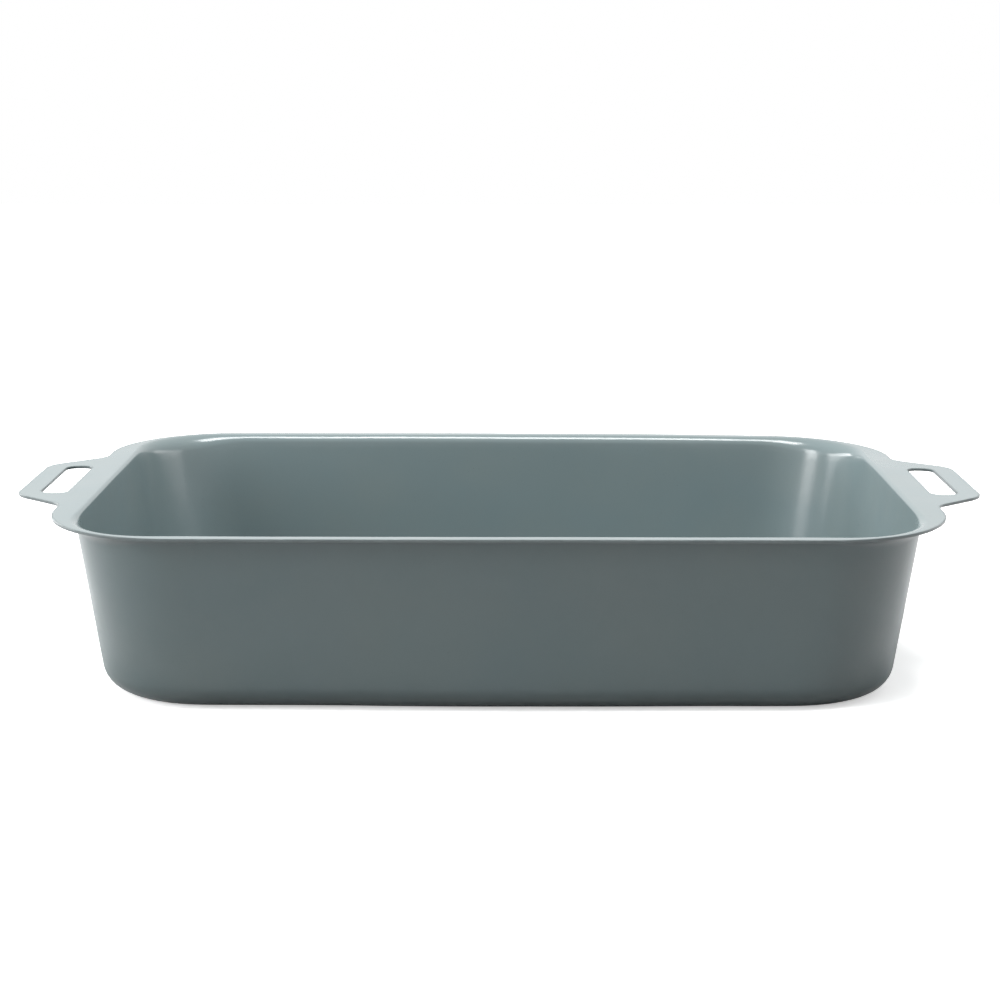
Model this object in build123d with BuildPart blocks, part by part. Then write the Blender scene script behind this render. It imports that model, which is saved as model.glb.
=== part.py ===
from build123d import *
import os
from math import hypot, sqrt

# A deep rectangular lasagna dish: one sheet of steel drawn into a tray with a flange and two punched
# handles, and coated all over with vitreous enamel. Lengths are in millimetres, +Z is up, X runs from
# handle to handle, and the origin is the middle of the underside.

height = 75.0

# The walls outside. The mouth is where they run into the flange, and each leans in towards the base,
# where the corners are rounder than at the mouth. Below the flange the corners flare: over this height
# their radius shrinks by so much more than it does on the way up.
mouth_length = 349.6
mouth_width = 230.4
mouth_corner_radius = 29.5
end_lean = 6.7
side_lean = 5.2
base_corner_radius = 48.0
base_edge_radius = 11.0
flare_height = 11.5
corner_flare = 8.0
shoulder_radius = 1.6

# The flange, from the walls outwards to the edge of its enamel: at the ends, along the sides, and
# across its corners
end_flange = 12.7
side_flange = 6.8
corner_flange = 2.8

# The steel sheet, the enamel on each of its faces, and the bead that the enamel draws round cut edges
steel_thickness = 0.8
enamel_thickness = 0.3
bead_width = 0.6

# Each handle is a tab of the flange, with a finger slot punched through it. The tab is widest at its
# root, and its sides run in to the tip. The slot lies between a land at the root and the grip.
handle_tip_width = 68.0
handle_root_width = 109.0
handle_tip_radius = 9.0
handle_root_radius = 11.0
handle_corner_land = 11.5
root_land = 2.1
grip_width = 9.8
slot_width = 11.6
slot_length = 62.6
slot_corner_radius = 5.0

# How far a cutting form runs past what it cuts, how much of an edge bead is bevelled, and how many
# strips the walls are drawn in up to the flare and over it
overrun = 5.0
bead_bevel_share = 0.8
wall_strips = 3
flare_strips = 4

# How deep each face of the layers lies under the outside face of the dish
outside = 0.0
steel_outside = enamel_thickness
steel_inside = enamel_thickness + steel_thickness
inside = steel_inside + enamel_thickness

flange_underside = height - inside
flare_foot = flange_underside - flare_height
flange_length = mouth_length + 2 * end_flange
flange_width = mouth_width + 2 * side_flange
handle_reach = root_land + slot_width + grip_width
handle_span = flange_length + 2 * handle_reach
slot_centre = handle_span / 2 - grip_width - slot_width / 2

# The flange's corners are as round as the walls' corners and the roots of the handles leave room for
wall_diagonal = (mouth_length + mouth_width) / 2 / sqrt(2) - mouth_corner_radius * (sqrt(2) - 1)
flange_diagonal = (flange_length + flange_width) / 2 / sqrt(2)
flange_corner_radius = min(
    (flange_diagonal - wall_diagonal - corner_flange) / (sqrt(2) - 1),
    (flange_width - handle_root_width) / 2 - handle_corner_land,
)


def taper(at_mouth, at_base, level):
    return at_base + (at_mouth - at_base) * level / flange_underside


def corner_radius(level):
    # It shrinks evenly from the base up, and faster and faster over the height of the flare
    unflared = taper(mouth_corner_radius + corner_flare, base_corner_radius, level)
    flared_share = max(level - flare_foot, 0) / flare_height
    return unflared - corner_flare * flared_share**2


def wall_outline(level, depth):
    # The rounded rectangle that a layer's face cuts at one level. The walls lean, so a face that lies
    # deep by so much stands back by a little more.
    set_back = depth * hypot(1, end_lean / flange_underside)
    RectangleRounded(
        taper(mouth_length, mouth_length - 2 * end_lean, level) - 2 * set_back,
        taper(mouth_width, mouth_width - 2 * side_lean, level) - 2 * set_back,
        corner_radius(level) - set_back,
    )


def space_over(depth):
    # All that lies inside the tray and above the flange, down to the face at this depth. The sides and
    # the base are true planes, and only the corners are curved.
    flange_level = flange_underside + depth
    wall_rise = (flare_foot - depth) / wall_strips
    flare_rise = (flange_level - flare_foot) / flare_strips
    levels = [depth + wall_rise * strip for strip in range(wall_strips)]
    levels += [flare_foot + flare_rise * strip for strip in range(flare_strips)]
    with BuildPart() as space:
        for level in (*levels, flange_level):
            with BuildSketch(Plane.XY.offset(level)):
                wall_outline(level, depth)
        drawn = loft(ruled=True, mode=Mode.PRIVATE)
        add(Solid(Shell([Face(f.outer_wire()) if f.is_planar else f for f in drawn.faces()])))
        fillet(space.faces().sort_by(Axis.Z)[0].edges(), radius=base_edge_radius - depth)
        with BuildSketch(Plane.XY.offset(flange_level)):
            Rectangle(handle_span + overrun, flange_width + overrun)
        extrude(amount=height - flange_level + overrun)
        underside = space.faces().filter_by(Plane.XY).sort_by(Axis.Z)[1]
        fillet(underside.inner_wires()[0].edges(), radius=shoulder_radius + depth)
    return space.part


def slot_outline(margin, mode=Mode.ADD):
    RectangleRounded(
        slot_width + 2 * margin,
        slot_length + 2 * margin,
        slot_corner_radius + margin,
        mode=mode,
    )


# The flange with its handles, as far as the enamel reaches. The sides of the handles are drawn on into
# the flange by as much again as the handles reach out of it.
with BuildSketch() as flange_plan:
    RectangleRounded(flange_length, flange_width, flange_corner_radius)
    with BuildLine():
        Polyline(
            (handle_span / 2, 0),
            (handle_span / 2, handle_tip_width / 2),
            (handle_span / 2 - 2 * handle_reach, handle_root_width - handle_tip_width / 2),
            (0, handle_root_width - handle_tip_width / 2),
        )
        mirror(about=Plane.XZ)
        mirror(about=Plane.YZ)
    make_face()
    for tip in (-handle_span / 2, handle_span / 2):
        fillet(flange_plan.vertices().sort_by_distance((tip, 0))[:2], radius=handle_tip_radius)
        fillet(flange_plan.vertices().sort_by_distance((tip, 0))[4:6], radius=handle_root_radius)

# The same plan as the steel is trimmed, with both slots punched
with BuildSketch() as trimmed_plan:
    offset(flange_plan.sketch, amount=-bead_width)
    with Locations((-slot_centre, 0), (slot_centre, 0)):
        slot_outline(bead_width, Mode.SUBTRACT)

os.makedirs("parts", exist_ok=True)

# The three layers from the base up: enamel outside, the drawn steel, and enamel on the food side. Each
# lies between two faces of the dish, and ends at the trimmed edge of the steel.
layers = {
    "outer_enamel": (outside, steel_outside),
    "steel_pressing": (steel_outside, steel_inside),
    "inner_enamel": (steel_inside, inside),
}
for name, (outer_depth, inner_depth) in layers.items():
    with BuildPart() as layer:
        add(trimmed_plan.sketch)
        extrude(amount=height)
        add(space_over(outer_depth), mode=Mode.INTERSECT)
        add(space_over(inner_depth), mode=Mode.SUBTRACT)
    layer.part.label = name
    export_step(layer.part, "parts/" + name + ".step")

# The bead of enamel round the trimmed edge of the flange and handles, bevelled where it is free
bead_bevel = bead_bevel_share * min(bead_width, inside / 2)
with BuildPart() as rim_edge_enamel:
    with BuildSketch(Plane.XY.offset(flange_underside)):
        add(flange_plan.sketch)
        offset(flange_plan.sketch, amount=-bead_width, mode=Mode.SUBTRACT)
    extrude(amount=inside)
    flat_sides = rim_edge_enamel.faces().filter_by(Plane.XY)
    chamfer([edge for side in flat_sides for edge in side.outer_wire().edges()], length=bead_bevel)
rim_edge_enamel.part.label = "rim_edge_enamel"
export_step(rim_edge_enamel.part, "parts/rim_edge_enamel.step")

# The same bead round the cut edge of each finger slot
for name, centre in (("left_slot_enamel", -slot_centre), ("right_slot_enamel", slot_centre)):
    with BuildPart() as slot_enamel:
        with BuildSketch(Plane.XY.offset(flange_underside)):
            with Locations((centre, 0)):
                slot_outline(bead_width)
                slot_outline(0, Mode.SUBTRACT)
        extrude(amount=inside)
        flat_sides = slot_enamel.faces().filter_by(Plane.XY)
        chamfer([edge for side in flat_sides for edge in side.inner_wires()[0].edges()], length=bead_bevel)
    slot_enamel.part.label = name
    export_step(slot_enamel.part, "parts/" + name + ".step")
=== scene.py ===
import math

import bmesh
import bpy
import numpy as np
from mathutils import Matrix, Vector, geometry, noise


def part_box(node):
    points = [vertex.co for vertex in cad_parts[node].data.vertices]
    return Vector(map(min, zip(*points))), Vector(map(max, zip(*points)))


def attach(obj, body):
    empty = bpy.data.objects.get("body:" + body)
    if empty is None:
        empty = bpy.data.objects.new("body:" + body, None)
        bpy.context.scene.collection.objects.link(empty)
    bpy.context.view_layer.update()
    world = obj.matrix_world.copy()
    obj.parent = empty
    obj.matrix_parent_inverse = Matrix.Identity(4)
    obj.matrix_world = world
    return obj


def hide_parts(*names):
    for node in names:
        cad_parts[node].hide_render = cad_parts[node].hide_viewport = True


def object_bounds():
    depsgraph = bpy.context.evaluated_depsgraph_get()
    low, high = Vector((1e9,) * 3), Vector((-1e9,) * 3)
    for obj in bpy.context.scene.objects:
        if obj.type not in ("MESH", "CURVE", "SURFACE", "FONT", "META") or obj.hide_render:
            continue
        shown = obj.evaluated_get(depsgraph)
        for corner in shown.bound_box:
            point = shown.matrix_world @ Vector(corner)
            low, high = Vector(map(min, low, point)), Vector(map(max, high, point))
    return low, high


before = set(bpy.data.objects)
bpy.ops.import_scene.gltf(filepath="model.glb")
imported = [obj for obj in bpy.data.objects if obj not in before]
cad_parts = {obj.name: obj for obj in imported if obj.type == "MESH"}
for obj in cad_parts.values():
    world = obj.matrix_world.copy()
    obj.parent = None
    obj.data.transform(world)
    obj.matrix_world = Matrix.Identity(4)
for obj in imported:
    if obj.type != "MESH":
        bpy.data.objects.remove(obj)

# A deep enamelled lasagna dish with two slotted tab handles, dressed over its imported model.
# Lengths are in metres, and angles in degrees.

cadLow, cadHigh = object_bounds()
print("frame loaded with", len(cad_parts), "nodes")

# What the frame says of the sheet: its reach, its top, its thickness and that of one coat
rimLow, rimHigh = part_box("rim_edge_enamel")
slotLow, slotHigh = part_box("right_slot_enamel")
steelLow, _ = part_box("steel_pressing")
sheetTop = rimHigh.z
sheetThickness = rimHigh.z - rimLow.z
coatThickness = steelLow.z
flangeUnder = sheetTop - sheetThickness

# How the walls, corners and handles run in between. Lengths and widths are half ones. The corners have
# one radius where the flange's flat ends, and a larger one in the walls below its soft shoulder, where
# they are cut back too, most of all at their middles.
dish = {
    "mouthLength": 0.1768,
    "mouthWidth": 0.1152,
    "mouthCorner": 0.0325,
    "wallCorner": 0.0420,
    "baseCorner": 0.048,
    "endLean": 0.0087,
    "sideLean": 0.0052,
    "baseEdge": 0.011,
    "sideShoulder": 0.0026,
    "endShoulder": 0.0004,
    "cornerCut": 0.0005,
    "cutGrowth": 2.0,
    "endFlange": 0.0107,
    "flangeCorner": 0.0560,
    "handleTip": 0.034,
    "handleRoot": 0.0545,
    "tipCorner": 0.015,
    "rootCorner": 0.011,
    "slotCorner": 0.005,
    "beadWidth": 0.0006,
    "beadRound": 0.00034,
}

# How finely the pieces are drawn
mesh = {
    "sideStep": 0.0042,
    "cornerSteps": 20,
    "wallSteps": 20,
    "baseEdgeSteps": 9,
    "shoulderSteps": 12,
    "easePasses": 7,
    "outlineStep": 0.0026,
    "arcStep": 5.0,
    "arcLeast": 3,
    "fillStep": 0.0055,
    "fillTolerance": 1e-9,
    "beadSteps": 5,
    "sharpAngle": 40.0,
    "weld": 0.000002,
}

# How far the drawn sheet and its coat stray from the true form: the length and depth of each wave, how
# far the long sides bow out at the base, and where and how far one corner of the flange hangs. The bead
# thins by a mean share, of which only some shows at its top, and has a finer wave too.
unevenness = {
    "waveSeed": 7,
    "sideBow": 0.0010,
    "sagPlace": (0.172, 0.100),
    "sagReach": 0.085,
    "sagDepth": 0.0011,
    "sagRise": 3,
    "sheetWave": 0.060,
    "sheetDepth": 0.00016,
    "coatWave": 0.017,
    "coatDepth": 0.000035,
    "coatShift": (7, 3, 5),
    "beadWave": 0.0050,
    "beadDepth": 0.00022,
    "beadFineShare": 0.5,
    "beadFineTimes": 3,
    "beadMeanShare": 0.45,
    "beadTopShare": 0.35,
}
noise.seed_set(unevenness["waveSeed"])  # so that the waves are the same at each run


# The form of the tray

def wallAt(z):
    # Half length, half width and corner radius of the outside of the walls at this height
    share = z / flangeUnder
    length = dish["mouthLength"] - dish["endLean"] * (1 - share)
    width = dish["mouthWidth"] - dish["sideLean"] * (1 - share)
    return length, width, dish["baseCorner"] + (dish["wallCorner"] - dish["baseCorner"]) * share


def columnsRoundTray():
    # Each column has its place along the length and the width, from -1 to 1 between the corners'
    # middles, and the direction that the wall faces there
    halfSides = [dish["mouthLength"] - dish["mouthCorner"], dish["mouthWidth"] - dish["mouthCorner"]]
    sides = [(-1, -1, 1, -1), (1, -1, 1, 1), (1, 1, -1, 1), (-1, 1, -1, -1)]
    columns = []
    for turn, (fromX, fromY, toX, toY) in enumerate(sides):
        facing = math.radians(90 * turn - 90)
        steps = round(2 * halfSides[turn % 2] / mesh["sideStep"])
        for i in range(steps):
            t = i / steps
            columns.append((fromX + (toX - fromX) * t, fromY + (toY - fromY) * t, facing))
        for i in range(mesh["cornerSteps"]):
            columns.append((toX, toY, facing + math.radians(90 * i / mesh["cornerSteps"])))
    return columns


def trayColumn(column, depth):
    # One profile of the face that lies this deep, from the base's flat up to the flange's flat
    placeX, placeY, facing = column
    outward = Vector((math.cos(facing), math.sin(facing), 0))
    along = Vector((-outward.y, outward.x, 0))
    setBack = depth * math.hypot(1, dish["endLean"] / flangeUnder)
    bow = unevenness["sideBow"] * math.cos(math.pi * placeX) * outward.y ** 2
    cut = dish["cornerCut"] * abs(2 * outward.x * outward.y) ** dish["cutGrowth"]

    def reach(z):
        length, width, corner = wallAt(z)
        middle = Vector((placeX * (length - corner), placeY * (width - corner), 0))
        drift = bow * (1 - z / flangeUnder) - cut * z / flangeUnder
        return middle.dot(outward) + corner - setBack + drift, middle.dot(along)

    lean = math.atan((reach(flangeUnder)[0] - reach(0)[0]) / flangeUnder)

    def roundPoints(ballHeight, radius, side, steps):
        # The round that runs from the wall to the base, side 1, or to the flange, side -1
        across, run = reach(ballHeight - side * radius * math.sin(lean))
        across -= side * radius * math.cos(lean)
        points = []
        for i in range(steps + 1):
            angle = lean + (math.pi / 2 - lean) * i / steps
            flat = outward * (across + side * radius * math.cos(angle)) + along * run
            points.append(flat + Vector((0, 0, ballHeight - side * radius * math.sin(angle))))
        return points

    # The shoulder is tight at the ends, softer along the sides, and grows round the corners until it takes
    # up what lies between the flange's corner and the walls' own
    spare = (dish["wallCorner"] - dish["mouthCorner"]) * (abs(outward.x) + abs(outward.y) - 1) + cut
    tight = dish["endShoulder"] * outward.x ** 2 + dish["sideShoulder"] * outward.y ** 2
    shoulder = tight + spare / math.tan(math.pi / 4 - lean / 2)
    baseRound = roundPoints(dish["baseEdge"], dish["baseEdge"] - depth, 1, mesh["baseEdgeSteps"])
    shoulderRound = roundPoints(flangeUnder - shoulder, shoulder + depth, -1, mesh["shoulderSteps"])
    wall = []
    wallLow, wallHigh = baseRound[0].z, shoulderRound[0].z
    for i in range(1, mesh["wallSteps"]):
        z = wallLow + (wallHigh - wallLow) * i / mesh["wallSteps"]
        across, run = reach(z)
        wall.append(outward * across + along * run + Vector((0, 0, z)))
    return baseRound[::-1] + wall + shoulderRound


def trayRows(depth):
    # The rows are eased round the tray, so that the sides run into the corners without a break
    profiles = np.array([trayColumn(column, depth) for column in columnsRoundTray()])
    for _ in range(mesh["easePasses"]):
        profiles = (np.roll(profiles, 1, axis=0) + 2 * profiles + np.roll(profiles, -1, axis=0)) / 4
    return [[Vector(point) for point in row] for row in profiles.transpose(1, 0, 2)]


# The outlines of the flange, the handles and the finger slots

def roundedLoop(corners, radii, inset, z):
    # A closed outline with rounded corners, drawn anticlockwise and set in by so much. Each outline
    # has as many points at any inset, so that two of them can be joined.
    loop = []
    count = len(corners)
    arcs = []
    for i, corner in enumerate(corners):
        here = Vector(corner)
        back = (Vector(corners[i - 1]) - here).normalized()
        ahead = (Vector(corners[(i + 1) % count]) - here).normalized()
        turn = 1 if back.x * ahead.y - back.y * ahead.x < 0 else -1
        half = back.angle(ahead) / 2
        middle = here + (back + ahead).normalized() * radii[i] / math.sin(half)
        start = here + back * radii[i] / math.tan(half) - middle
        arcs.append((middle, radii[i], turn, math.atan2(start.y, start.x), (math.pi - 2 * half) * turn))
    for i, (middle, radius, turn, start, sweep) in enumerate(arcs):
        steps = max(mesh["arcLeast"], round(abs(math.degrees(sweep)) / mesh["arcStep"]))
        size = radius - turn * inset
        for k in range(steps + 1):
            angle = start + sweep * k / steps
            loop.append(middle + size * Vector((math.cos(angle), math.sin(angle))))
        nextMiddle, nextRadius, nextTurn, nextStart, _ = arcs[(i + 1) % count]
        trueEnd = middle + radius * Vector((math.cos(start + sweep), math.sin(start + sweep)))
        trueNext = nextMiddle + nextRadius * Vector((math.cos(nextStart), math.sin(nextStart)))
        nextSize = nextRadius - nextTurn * inset
        lineEnd = nextMiddle + nextSize * Vector((math.cos(nextStart), math.sin(nextStart)))
        lineStart = loop[-1].copy()
        steps = max(1, round((trueNext - trueEnd).length / mesh["outlineStep"]))
        loop.extend(lineStart.lerp(lineEnd, k / steps) for k in range(1, steps))
    return [Vector((p.x, p.y, z)) for p in loop]


def flangeLoop(inset, z):
    end = dish["mouthLength"] + dish["endFlange"]
    quarter = [
        ((rimHigh.x, dish["handleTip"]), dish["tipCorner"]),
        ((end, dish["handleRoot"]), dish["rootCorner"]),
        ((end, rimHigh.y), dish["flangeCorner"]),
    ]
    back = quarter + [((-x, y), radius) for (x, y), radius in reversed(quarter)]
    whole = back + [((-x, -y), radius) for (x, y), radius in back]
    return roundedLoop([corner for corner, _ in whole], [radius for _, radius in whole], inset, z)


def slotLoop(side, inset, z):
    # The cut edge of a finger slot lies within the box of the bead round it
    bead = dish["beadWidth"]
    nearX, farX, reachY = slotLow.x + bead, slotHigh.x - bead, slotHigh.y - bead
    left, right = (nearX, farX) if side > 0 else (-farX, -nearX)
    corners = [(left, -reachY), (right, -reachY), (right, reachY), (left, reachY)]
    return roundedLoop(corners, [dish["slotCorner"]] * 4, inset, z)


# Mesh work

def addRows(bm, rows, closed=False):
    # Joins loops of equally many points with quads
    verts = [[bm.verts.new(p) for p in row] for row in rows]
    if closed:
        verts.append(verts[0])
    for low, high in zip(verts, verts[1:]):
        for i in range(len(low)):
            k = (i + 1) % len(low)
            bm.faces.new((low[i], low[k], high[k], high[i]))


def isWithin(points, loop):
    # Which of the points lie inside a closed outline
    x, y = points[:, 0, None], points[:, 1, None]
    ends = np.roll(loop, -1, axis=0)
    crosses = (loop[:, 1] > y) != (ends[:, 1] > y)
    rise = np.where(ends[:, 1] == loop[:, 1], 1.0, ends[:, 1] - loop[:, 1])
    at = loop[:, 0] + (y - loop[:, 1]) * (ends[:, 0] - loop[:, 0]) / rise
    return np.sum(crosses & (x < at), axis=1) % 2 == 1


def addFlat(bm, outline, holes, z):
    # Fills a flat face between outlines with even triangles
    loops = [np.array([(p.x, p.y) for p in loop]) for loop in [outline, *holes]]
    step = mesh["fillStep"]
    low, high = loops[0].min(0), loops[0].max(0)
    xs, ys = np.arange(low[0], high[0], step), np.arange(low[1], high[1], step)
    grid = np.array([(x + (k % 2) * step / 2, y) for k, y in enumerate(ys) for x in xs])

    def isKept(points):
        kept = isWithin(points, loops[0])
        for hole in loops[1:]:
            kept &= ~isWithin(points, hole)
        return kept

    grid = grid[isKept(grid)]
    edgePoints = np.concatenate(loops)
    gaps = np.min(np.hypot(*(grid[:, None] - edgePoints[None]).transpose(2, 0, 1)), axis=1)
    grid = grid[gaps > step / 2]
    edges = []
    start = 0
    for loop in loops:
        edges += [(start + i, start + (i + 1) % len(loop)) for i in range(len(loop))]
        start += len(loop)
    points = [Vector(p) for p in np.concatenate([edgePoints, grid])]
    flatVerts, _, faces, *_ = geometry.delaunay_2d_cdt(points, edges, [], 0, mesh["fillTolerance"])
    centres = np.array([sum((flatVerts[i] for i in face), Vector((0, 0))) / len(face) for face in faces])
    verts = [bm.verts.new((p.x, p.y, z)) for p in flatVerts]
    for face, kept in zip(faces, isKept(centres)):
        if kept:
            bm.faces.new([verts[i] for i in face])


def stray(point):
    # The drawn sheet is never quite true, and the coat lies on it in shallow waves
    sheet = noise.noise_vector(point / unevenness["sheetWave"]) * unevenness["sheetDepth"]
    coatPlace = point / unevenness["coatWave"] + Vector(unevenness["coatShift"])
    coat = noise.noise_vector(coatPlace) * unevenness["coatDepth"]
    near = (Vector((point.x, point.y)) - Vector(unevenness["sagPlace"])).length / unevenness["sagReach"]
    sag = unevenness["sagDepth"] * math.exp(-near ** 2) * max(point.z / sheetTop, 0) ** unevenness["sagRise"]
    return sheet + coat - Vector((0, 0, sag))


def addObject(name, data):
    thing = bpy.data.objects.new(name, data)
    bpy.context.scene.collection.objects.link(thing)
    return thing


def makePiece(name, bm, node, material):
    # Welds the faces into one closed skin, lets it stray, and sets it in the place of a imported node
    bmesh.ops.remove_doubles(bm, verts=bm.verts, dist=mesh["weld"])
    loose = [v for v in bm.verts if not v.link_faces]
    bmesh.ops.delete(bm, geom=loose, context="VERTS")
    bmesh.ops.recalc_face_normals(bm, faces=bm.faces)
    for vert in bm.verts:
        moved = vert.co + stray(vert.co)
        vert.co = [min(max(value, low), high) for value, low, high in zip(moved, cadLow, cadHigh)]
    data = bpy.data.meshes.new(name)
    openEdges = sum(not edge.is_manifold for edge in bm.edges)
    bm.to_mesh(data)
    bm.free()
    data.shade_smooth()
    data.set_sharp_from_angle(angle=math.radians(mesh["sharpAngle"]))
    data.materials.append(material)
    piece = addObject(name, data)
    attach(piece, "root")
    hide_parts(node)
    print("made", name, "with", len(data.polygons), "faces, open edges:", openEdges)


# Finishes

noiseSpan = (0.3, 0.7)  # where most of a noise texture's values lie


def addNode(tree, kind, inputs=None, **settings):
    # Each input is given a value, or a link where it is another node's output
    node = tree.nodes.new(kind)
    for key, value in settings.items():
        setattr(node, key, value)
    for key, value in (inputs or {}).items():
        if isinstance(value, bpy.types.NodeSocket):
            tree.links.new(value, node.inputs[key])
        else:
            node.inputs[key].default_value = value
    return node


def calculate(tree, operation, *values, clamp=False):
    inputs = dict(enumerate(values))
    return addNode(tree, "ShaderNodeMath", inputs, operation=operation, use_clamp=clamp).outputs[0]


def mapRange(tree, value, fromRange, toRange):
    return addNode(tree, "ShaderNodeMapRange", {
        "Value": value, "From Min": fromRange[0], "From Max": fromRange[1],
        "To Min": toRange[0], "To Max": toRange[1]}).outputs["Result"]


def mixColors(tree, factor, first, second):
    return addNode(tree, "ShaderNodeMix", {0: factor, 6: first, 7: second}, data_type="RGBA").outputs[2]


def newMaterial(name):
    material = bpy.data.materials.new(name)
    material.use_nodes = True
    return material, material.node_tree, material.node_tree.nodes["Principled BSDF"]


# How fine the marks of the firing are, and where the mask of each one starts and ends
firing = {
    "cloudEnds": (0.25, 0.75),
    "cloudDetail": 2.0,
    "speckScale": 420.0,
    "speckEnds": (0.06, 0.16),
    "patchScale": 90.0,
    "patchEnds": (0.52, 0.66),
    "smearScale": 26.0,
    "smearDetail": 5.0,
    "smearRoughness": 0.6,
    "peelScale": 210.0,
    "peelDetail": 1.5,
    "peelDepth": 0.0002,
    "pitScale": 900.0,
    "pitDetail": 1.0,
    "pitShare": 0.18,
    "glassIor": 1.55,
}

# What the glaze's inputs are until a coat sets its own
glazeDefaults = {
    "Body Color": (0.15, 0.19, 0.2, 1),
    "Cloud Color": (0.13, 0.19, 0.2, 1),
    "Speck Color": (0.05, 0.06, 0.06, 1),
    "Cloud Size": 0.03,
    "Speck Amount": 0.3,
    "Roughness": 0.3,
    "Roughness Spread": 0.06,
}


def makeGlazeGroup():
    # Fired enamel: cloudy colour, fine specks, a soft orange peel and pinholes
    group = bpy.data.node_groups.new("firedGlaze", "ShaderNodeTree")
    for name, value in glazeDefaults.items():
        kind = "NodeSocketFloat" if isinstance(value, float) else "NodeSocketColor"
        group.interface.new_socket(name=name, in_out="INPUT", socket_type=kind).default_value = value
    group.interface.new_socket(name="Color", in_out="OUTPUT", socket_type="NodeSocketColor")
    for name in ("Roughness", "Height"):
        group.interface.new_socket(name=name, in_out="OUTPUT", socket_type="NodeSocketFloat")
    given = addNode(group, "NodeGroupInput").outputs
    place = addNode(group, "ShaderNodeTexCoord").outputs["Object"]

    clouds = addNode(group, "ShaderNodeTexNoise", {
        "Vector": place, "Scale": calculate(group, "DIVIDE", 1.0, given["Cloud Size"]),
        "Detail": firing["cloudDetail"]})
    cloudMask = mapRange(group, clouds.outputs["Fac"], firing["cloudEnds"], (0.0, 1.0))
    body = mixColors(group, cloudMask, given["Body Color"], given["Cloud Color"])

    specks = addNode(group, "ShaderNodeTexVoronoi", {"Vector": place, "Scale": firing["speckScale"]})
    patches = addNode(group, "ShaderNodeTexNoise", {"Vector": place, "Scale": firing["patchScale"]})
    speckMask = mapRange(group, specks.outputs["Distance"], firing["speckEnds"], (1.0, 0.0))
    patchMask = mapRange(group, patches.outputs["Fac"], firing["patchEnds"], (0.0, 1.0))
    speckShare = calculate(group, "MULTIPLY", speckMask, patchMask)
    speckFactor = calculate(group, "MULTIPLY", speckShare, given["Speck Amount"])
    color = mixColors(group, speckFactor, body, given["Speck Color"])

    smears = addNode(group, "ShaderNodeTexNoise", {
        "Vector": place, "Scale": firing["smearScale"], "Detail": firing["smearDetail"],
        "Roughness": firing["smearRoughness"]})
    smearSpan = mapRange(group, smears.outputs["Fac"], noiseSpan, (-1.0, 1.0))
    roughness = calculate(group, "MULTIPLY_ADD", smearSpan, given["Roughness Spread"], given["Roughness"])

    peel = addNode(group, "ShaderNodeTexNoise", {
        "Vector": place, "Scale": firing["peelScale"], "Detail": firing["peelDetail"]})
    pits = addNode(group, "ShaderNodeTexNoise", {
        "Vector": place, "Scale": firing["pitScale"], "Detail": firing["pitDetail"]})
    pitHeight = calculate(group, "MULTIPLY", pits.outputs["Fac"], firing["pitShare"])
    height = calculate(group, "ADD", peel.outputs["Fac"], pitHeight)
    addNode(group, "NodeGroupOutput", {"Color": color, "Roughness": roughness, "Height": height})
    return group


glazeGroup = makeGlazeGroup()

# Each coat's colours, the size of its clouds in metres, and how rough and how wavy its face is. The inner
# and outer coats are one enamel: the inner one's colours carry painted light, and the outer one's painted
# shade.
glazes = {
    # painted shade: the outer coat is darker than the enamel, standing in for the shade on the outside walls
    "outerCoatPaintedShade": {
        "body": (0.079, 0.114, 0.116, 1), "cloud": (0.074, 0.111, 0.117, 1), "speck": (0.05, 0.062, 0.064, 1),
        "cloudSize": 0.034, "speckAmount": 0.25, "roughness": 0.33, "spread": 0.04, "peel": 0.16,
    },
    # painted light: the inner coat is lighter than the same enamel, standing in for the light that falls into
    # the dish
    "innerCoatPaintedLight": {
        "body": (0.160, 0.203, 0.206, 1), "cloud": (0.151, 0.199, 0.207, 1), "speck": (0.06, 0.078, 0.082, 1),
        "cloudSize": 0.030, "speckAmount": 0.2, "roughness": 0.2, "spread": 0.04, "peel": 0.12,
    },
    "edgeCoat": {
        "body": (0.120, 0.150, 0.154, 1), "cloud": (0.085, 0.110, 0.114, 1), "speck": (0.03, 0.036, 0.037, 1),
        "cloudSize": 0.006, "speckAmount": 0.5, "roughness": 0.36, "spread": 0.07, "peel": 0.2,
    },
}


def makeGlaze(name):
    values = glazes[name]
    material, tree, shader = newMaterial(name)
    glaze = addNode(tree, "ShaderNodeGroup", {
        "Body Color": values["body"], "Cloud Color": values["cloud"], "Speck Color": values["speck"],
        "Cloud Size": values["cloudSize"], "Speck Amount": values["speckAmount"],
        "Roughness": values["roughness"], "Roughness Spread": values["spread"]}, node_tree=glazeGroup)
    bump = addNode(tree, "ShaderNodeBump", {
        "Strength": values["peel"], "Distance": firing["peelDepth"], "Height": glaze.outputs["Height"]})
    tree.links.new(glaze.outputs["Color"], shader.inputs["Base Color"])
    tree.links.new(glaze.outputs["Roughness"], shader.inputs["Roughness"])
    tree.links.new(bump.outputs["Normal"], shader.inputs["Normal"])
    shader.inputs["IOR"].default_value = firing["glassIor"]
    return material


# The outer coat's colour is painted shade and the inner coat's is painted light; the edge coat is left as it
# is
outerCoatPaintedShade = makeGlaze("outerCoatPaintedShade")
innerCoatPaintedLight = makeGlaze("innerCoatPaintedLight")
edgeCoat = makeGlaze("edgeCoat")

bareSteel = {
    "light": (0.42, 0.43, 0.44, 1),
    "dark": (0.30, 0.31, 0.32, 1),
    "grain": (900.0, 30.0, 900.0),
    "grainDetail": 3.0,
    "roughness": (0.3, 0.5),
}


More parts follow.
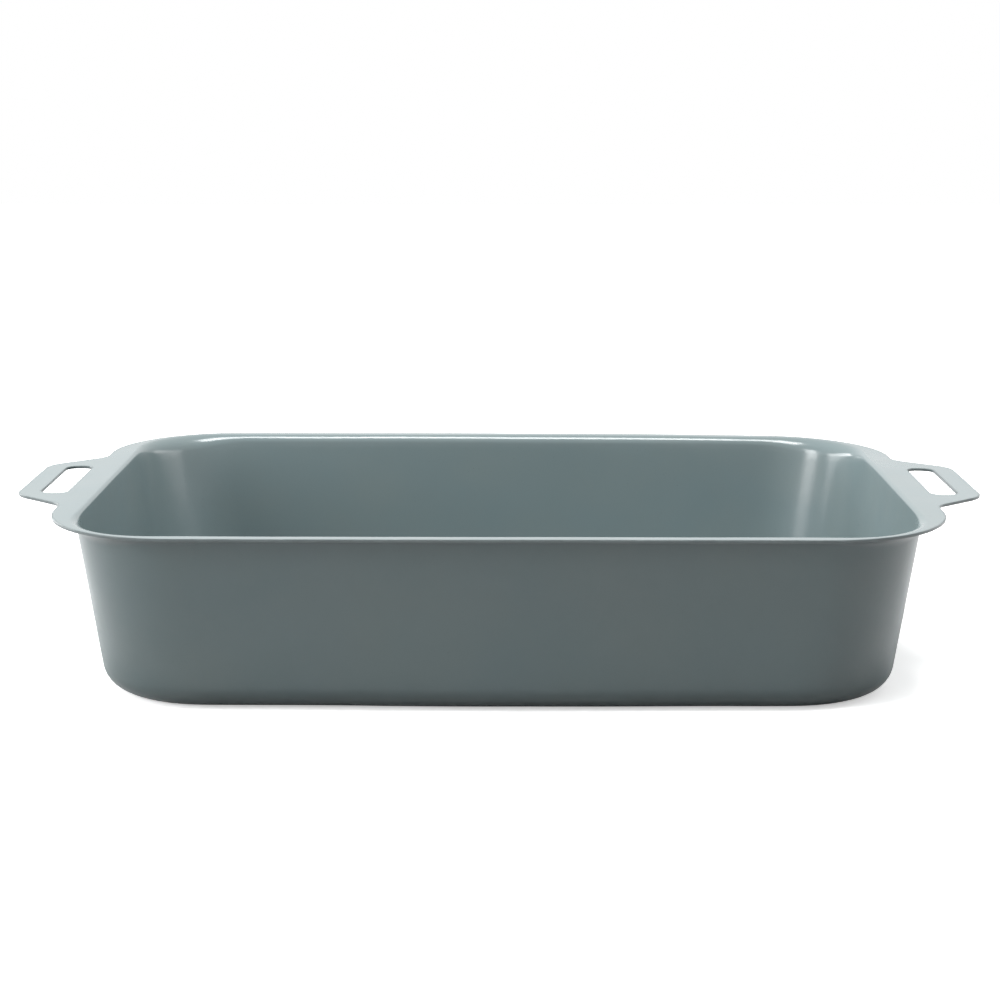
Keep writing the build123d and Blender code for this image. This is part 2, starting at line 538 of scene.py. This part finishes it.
def makeSteel():
    # Bare rolled sheet, which lies between the coats
    material, tree, shader = newMaterial("rolledSteel")
    place = addNode(tree, "ShaderNodeTexCoord").outputs["Object"]
    stretched = addNode(tree, "ShaderNodeMapping", {"Vector": place, "Scale": bareSteel["grain"]})
    grain = addNode(tree, "ShaderNodeTexNoise", {
        "Vector": stretched.outputs[0], "Scale": 1.0, "Detail": bareSteel["grainDetail"]}).outputs["Fac"]
    color = mixColors(tree, grain, bareSteel["light"], bareSteel["dark"])
    roughness = mapRange(tree, grain, noiseSpan, bareSteel["roughness"])
    tree.links.new(color, shader.inputs["Base Color"])
    tree.links.new(roughness, shader.inputs["Roughness"])
    shader.inputs["Metallic"].default_value = 1.0
    return material


rolledSteel = makeSteel()
print("finishes made")


# The three layers, each a closed skin between two faces of the sheet

def makeLayer(name, depths, node, material):
    bm = bmesh.new()
    bead = dish["beadWidth"]
    for depth in depths:
        flat = flangeUnder + depth
        rows = trayRows(depth)
        addRows(bm, rows)
        addFlat(bm, rows[0], [], depth)
        holes = [rows[-1], slotLoop(-1, -bead, flat), slotLoop(1, -bead, flat)]
        addFlat(bm, flangeLoop(bead, flat), holes, flat)
    heights = [flangeUnder + depth for depth in depths]
    addRows(bm, [flangeLoop(bead, z) for z in heights])
    for side in (-1, 1):
        addRows(bm, [slotLoop(side, -bead, z) for z in heights])
    makePiece(name, bm, node, material)


makeLayer("outerCoatPaintedShade", (0.0, coatThickness), "outer_enamel", outerCoatPaintedShade)
makeLayer("steelSheet", (coatThickness, sheetThickness - coatThickness), "steel_pressing", rolledSteel)
makeLayer("innerCoatPaintedLight", (sheetThickness - coatThickness, sheetThickness), "inner_enamel", innerCoatPaintedLight)


# The bead that the coat draws round the cut edges

def beadProfile():
    # Points of (inset, height) from the top round the free edge to the underside
    radius = dish["beadRound"]
    steps = mesh["beadSteps"]
    arc = [math.pi / 2 * i / steps for i in range(steps + 1)]
    top = [(radius * (1 - math.sin(a)), sheetTop - radius * (1 - math.cos(a))) for a in arc]
    bottom = [(inset, sheetTop + flangeUnder - z) for inset, z in reversed(top)]
    return [(dish["beadWidth"], sheetTop), *top, *bottom, (dish["beadWidth"], flangeUnder)]


def makeBead(name, loopAt, direction, node):
    # The free side of the bead swells and thins, most of all underneath
    mean, top = unevenness["beadMeanShare"], unevenness["beadTopShare"]
    rows = []
    for inset, z in beadProfile():
        free = 1 - inset / dish["beadWidth"]
        under = (sheetTop - z) / sheetThickness
        row = []
        for p, back in zip(loopAt(direction * inset, z), loopAt(direction * dish["beadWidth"], z)):
            place = p / unevenness["beadWave"]
            fine = noise.noise(place * unevenness["beadFineTimes"])
            wave = noise.noise(place) + unevenness["beadFineShare"] * fine
            thinness = min(max(mean + (1 - mean) * wave, 0), 1) * (top + (1 - top) * under)
            thin = unevenness["beadDepth"] * thinness
            inwards = (back - p).normalized() if free > 0 else Vector()
            row.append(p + inwards * thin * free + Vector((0, 0, thin * under * free)))
        rows.append(row)
    bm = bmesh.new()
    addRows(bm, rows, closed=True)
    makePiece(name, bm, node, edgeCoat)


makeBead("rimBead", flangeLoop, 1, "rim_edge_enamel")
makeBead("leftSlotBead", lambda inset, z: slotLoop(-1, inset, z), -1, "left_slot_enamel")
makeBead("rightSlotBead", lambda inset, z: slotLoop(1, inset, z), -1, "right_slot_enamel")


# The studio: a white floor and surroundings, and soft boxes of light

# The world's light has a level on the left and one on the right, both in front and at the back, which
# blend into each other over the reach
studio = {
    "floorSize": 6.0,
    "floorColor": (0.09, 0.09, 0.093, 1),
    "floorSeen": (1.0, 1.0, 1.0, 1),
    "floorLift": 0.46,
    "floorClouds": 3.0,
    "floorRoughness": (0.6, 0.7),
    "frontLevels": (0.33, 0.33),
    "backLevels": (0.95, 1.0),
    "blendReach": 0.6,
}


def makeFloor():
    size = studio["floorSize"] / 2
    corners = [(-size, -size, 0), (size, -size, 0), (size, size, 0), (-size, size, 0)]
    data = bpy.data.meshes.new("floor")
    data.from_pydata(corners, [], [(0, 1, 2, 3)])
    material, tree, shader = newMaterial("whiteFloor")
    place = addNode(tree, "ShaderNodeTexCoord").outputs["Object"]
    clouds = addNode(tree, "ShaderNodeTexNoise", {"Vector": place, "Scale": studio["floorClouds"]})
    roughness = mapRange(tree, clouds.outputs["Fac"], noiseSpan, studio["floorRoughness"])
    tree.links.new(roughness, shader.inputs["Roughness"])
    shader.inputs["Specular IOR Level"].default_value = 0.0
    # Glossy faces see a white floor too, and what the camera sees of it is lifted until only the shadow
    # near the dish stays
    path = addNode(tree, "ShaderNodeLightPath").outputs
    seen = calculate(tree, "ADD", path["Is Camera Ray"], path["Is Transmission Ray"], clamp=True)
    mirrored = calculate(tree, "ADD", seen, path["Is Glossy Ray"], clamp=True)
    color = mixColors(tree, mirrored, studio["floorColor"], studio["floorSeen"])
    lift = calculate(tree, "MULTIPLY", seen, studio["floorLift"])
    tree.links.new(color, shader.inputs["Base Color"])
    tree.links.new(lift, shader.inputs["Emission Strength"])
    shader.inputs["Emission Color"].default_value = (1, 1, 1, 1)
    data.materials.append(material)
    addObject("floor", data)


def makeWorld():
    # White to the eye and in reflections, and dimmer for the light it gives
    world = bpy.data.worlds.new("studioWhite")
    bpy.context.scene.world = world
    world.use_nodes = True
    tree = world.node_tree
    background = tree.nodes["Background"]
    direction = addNode(tree, "ShaderNodeTexCoord").outputs["Generated"]
    way = addNode(tree, "ShaderNodeSeparateXYZ", {"Vector": direction}).outputs
    blend = (-studio["blendReach"], studio["blendReach"])
    front = mapRange(tree, way["X"], blend, studio["frontLevels"])
    back = mapRange(tree, way["X"], blend, studio["backLevels"])
    level = mapRange(tree, way["Y"], blend, (front, back))
    path = addNode(tree, "ShaderNodeLightPath").outputs
    seen = calculate(tree, "ADD", path["Is Camera Ray"], path["Is Glossy Ray"], clamp=True)
    seenThrough = calculate(tree, "ADD", seen, path["Is Transmission Ray"], clamp=True)
    strength = calculate(tree, "MAXIMUM", seenThrough, level)
    tree.links.new(strength, background.inputs["Strength"])
    background.inputs["Color"].default_value = (1, 1, 1, 1)


# All the boxes face one spot, a little over the base. Powers are in watts.
lampAim = (0, 0, 0.05)
softBoxes = {
    "leftBox": {"place": (-1.25, -0.67, 0.62), "size": (0.45, 0.8), "power": 13.0},
    "topBox": {"place": (0.0, -0.25, 1.6), "size": (0.8, 0.65), "power": 27.0},
    "backBox": {"place": (0.0, 2.2, 0.62), "size": (3.2, 1.15), "power": 2.0},
    "leftWallBox": {"place": (-1.4, 0.7, 0.45), "size": (1.5, 0.45), "power": 17.0},
    "rightWallBox": {"place": (1.5, 0.3, 0.45), "size": (1.6, 0.45), "power": 5.5},
}


def makeSoftBox(name):
    values = softBoxes[name]
    data = bpy.data.lights.new(name, "AREA")
    data.shape = "RECTANGLE"
    data.size, data.size_y = values["size"]
    data.energy = values["power"]
    lamp = addObject(name, data)
    lamp.location = values["place"]
    lamp.rotation_euler = (Vector(lampAim) - lamp.location).to_track_quat("-Z", "Y").to_euler()
    lamp.visible_camera = False


makeFloor()
makeWorld()
for name in softBoxes:
    makeSoftBox(name)

# The camera, as the photograph's own: its distance and height over the base, how far it looks down,
# turns and rolls, and its lens
camera = {
    "distance": 0.92925,
    "height": 0.25943,
    "down": 11.7836,
    "turn": -0.2565,
    "roll": 0.0612,
    "lens": 75.42,
    "sensor": 36.0,
    "shift": 0.00086,
}


def makeCamera():
    down, turn, roll = (math.radians(camera[key]) for key in ("down", "turn", "roll"))
    ahead = Vector((math.sin(turn) * math.cos(down), math.cos(turn) * math.cos(down), -math.sin(down)))
    level = Vector((math.cos(turn), -math.sin(turn), 0))
    above = level.cross(ahead)
    across = level * math.cos(roll) + above * math.sin(roll)
    upwards = above * math.cos(roll) - level * math.sin(roll)
    data = bpy.data.cameras.new("camera")
    data.lens = camera["lens"]
    data.sensor_width = camera["sensor"]
    data.shift_x = camera["shift"]
    photoCamera = addObject("camera", data)
    spot = Vector((-math.sin(turn), -math.cos(turn), 0)) * camera["distance"]
    spot.z = camera["height"]
    turnMatrix = Matrix((across, upwards, -ahead)).transposed()
    photoCamera.matrix_world = Matrix.Translation(spot) @ turnMatrix.to_4x4()
    bpy.context.scene.camera = photoCamera


makeCamera()
bpy.context.scene.view_settings.view_transform = "Standard"
print("studio set")
